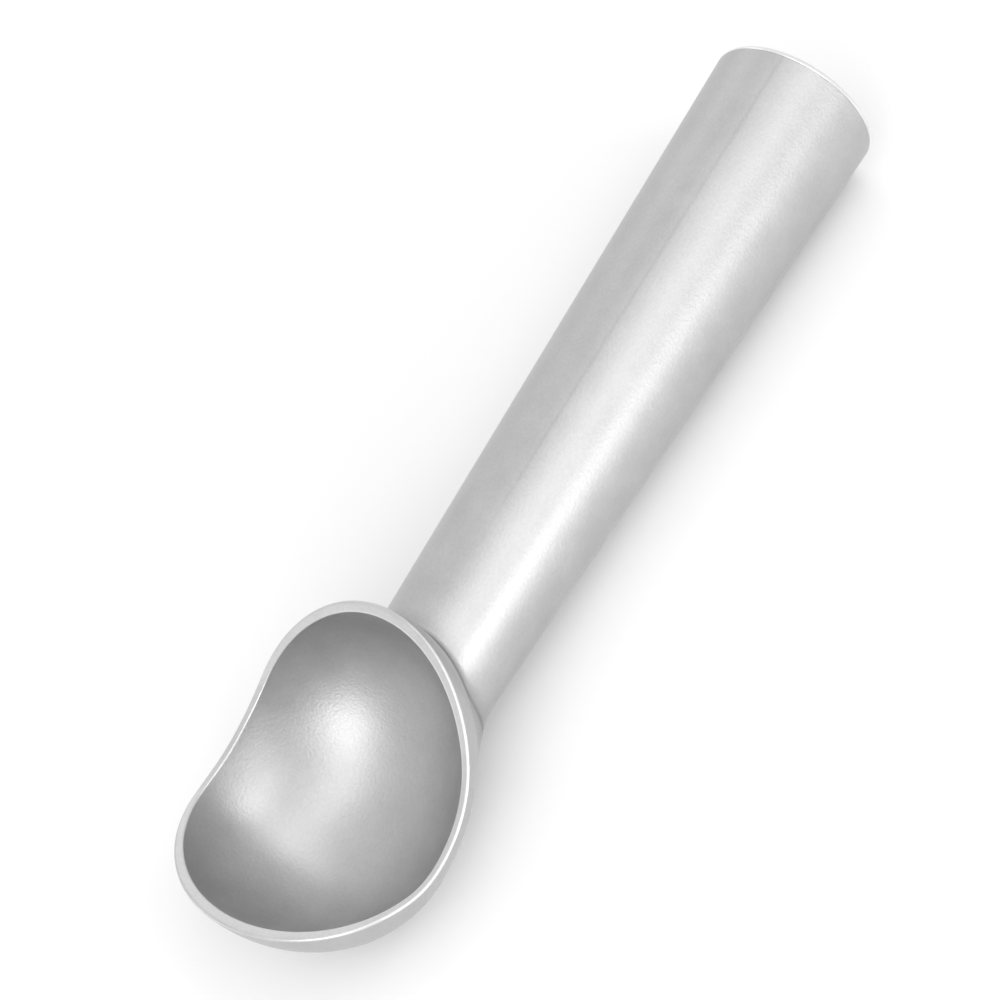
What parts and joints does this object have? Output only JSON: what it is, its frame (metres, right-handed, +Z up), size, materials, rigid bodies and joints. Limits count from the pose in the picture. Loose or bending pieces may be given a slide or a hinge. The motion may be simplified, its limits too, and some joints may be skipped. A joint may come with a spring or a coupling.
{
  "type": "ice cream scoop",
  "caption": "Cast aluminium ice cream scoop: an oval bowl with a curved rim on a thick, tapered, hollow handle that is filled with a heat-carrying liquid and closed by a sealed end plug.",
  "frame": {"origin": "on the surface the scoop lies on, under the middle of its length", "axes": "+X along the handle's axis from the bowl to the handle's end, +Z up out of the open bowl, +Y across the bowl; the XZ plane is the plane of symmetry"},
  "size_m": [0.1779, 0.0486, 0.0368],
  "materials": {
    "cast_aluminium": "satin bead-blasted casting",
    "plug_aluminium": "fine satin, turned",
    "seal_rubber": "matt black",
    "heat_fluid": "clear liquid"
  },
  "bodies": {
    "root": {"scoop_casting": "cast_aluminium", "end_plug": "plug_aluminium", "plug_o_ring": "seal_rubber", "heat_transfer_fluid": "heat_fluid"}
  },
  "joints": []
}
